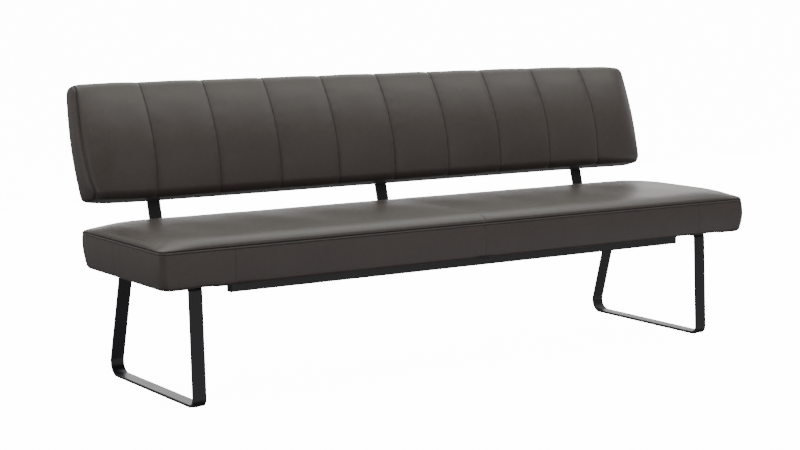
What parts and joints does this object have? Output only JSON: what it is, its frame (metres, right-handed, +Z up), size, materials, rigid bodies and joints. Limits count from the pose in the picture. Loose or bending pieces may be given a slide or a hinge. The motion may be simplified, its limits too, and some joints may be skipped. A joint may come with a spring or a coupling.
{
  "type": "upholstered bench",
  "caption": "Long dining bench with a crowned leather seat, a leaning back cushion sewn in vertical channels, and black flat-bar sled legs.",
  "frame": {"origin": "on the floor, at the centre of the bench's plan", "axes": "+X along the bench, to the right as seen from the front; the front faces -Y; +Z up. Left and right in names are as seen from the front."},
  "size_m": [2.2154, 0.6904, 0.9031],
  "materials": {
    "leather": "smooth dark taupe, fine grain, soft sheen",
    "black_steel": "black powder coat, half gloss",
    "black_plastic": "matt black moulded plastic",
    "timber": "planed, unfinished",
    "foam": "open-cell upholstery foam",
    "black_cloth": "plain black woven or bonded cloth",
    "zinc": "bright zinc plate"
  },
  "bodies": {
    "root": {"left_sled": "black_steel", "right_sled": "black_steel", "left_front_glide": "black_plastic", "left_rear_glide": "black_plastic", "right_front_glide": "black_plastic", "right_rear_glide": "black_plastic", "left_back_support": "black_steel", "middle_back_support": "black_steel", "right_back_support": "black_steel", "front_rail": "black_steel", "front_rail_left_cap": "black_plastic", "front_rail_right_cap": "black_plastic", "rear_rail": "black_steel", "rear_rail_left_cap": "black_plastic", "rear_rail_right_cap": "black_plastic", "seat_front_beam": "timber", "seat_rear_beam": "timber", "seat_left_end_board": "timber", "seat_right_end_board": "timber", "seat_left_cross_board": "timber", "seat_middle_cross_board": "timber", "seat_right_cross_board": "timber", "seat_webbing": "black_cloth", "seat_foam": "foam", "seat_cover": "leather", "seat_lining": "black_cloth", "back_board": "timber", "back_foam": "foam", "back_rear_pad": "foam", "back_cover": "leather", "sled_screws": "zinc", "support_screws": "zinc", "rail_screws": "zinc", "seat_tee_nuts": "zinc", "back_screws": "zinc", "back_tee_nuts": "zinc"}
  },
  "joints": []
}
